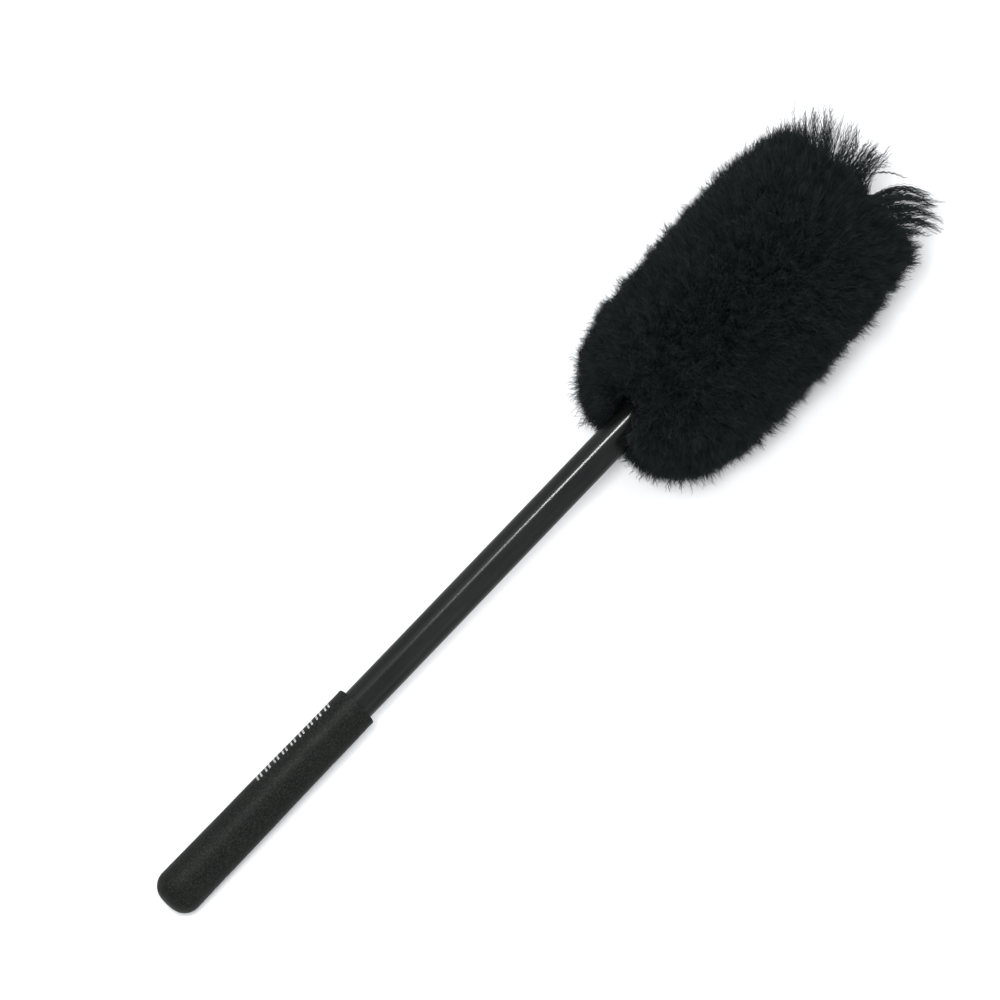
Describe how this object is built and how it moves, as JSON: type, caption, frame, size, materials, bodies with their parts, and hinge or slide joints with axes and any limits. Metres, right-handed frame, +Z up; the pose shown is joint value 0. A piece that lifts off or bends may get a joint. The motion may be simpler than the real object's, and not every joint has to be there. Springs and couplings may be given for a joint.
{
  "type": "wheel brush",
  "caption": "Wheel brush with a long-pile black wool head on a straight round tube handle with a soft slip-on grip.",
  "frame": {"origin": "on the table, under the middle of the whole brush's bounding box, with the brush lying at rest", "axes": "+X from the grip's butt towards the head's tip, +Z up, +Y across the brush to its left as seen from the butt"},
  "size_m": [0.456, 0.0952, 0.084],
  "materials": {
    "grip": "matte",
    "tube": "gloss",
    "plug": "satin",
    "collar": "satin",
    "foam": "matte",
    "pin": "satin",
    "hide": "matte",
    "thread": "matte",
    "cord": "matte",
    "wool": "matte"
  },
  "bodies": {
    "root": {"grip_sleeve": "grip", "handle_tube": "tube", "butt_plug": "plug", "tip_plug": "plug", "base_collar": "collar", "tip_collar": "collar", "foam_core": "foam", "base_pin": "pin", "tip_pin": "pin", "hide_sleeve": "hide", "side_seam_thread": "thread", "tip_seam_thread": "thread", "hem_binding_cord": "cord", "wool_pile": "wool"}
  },
  "joints": []
}
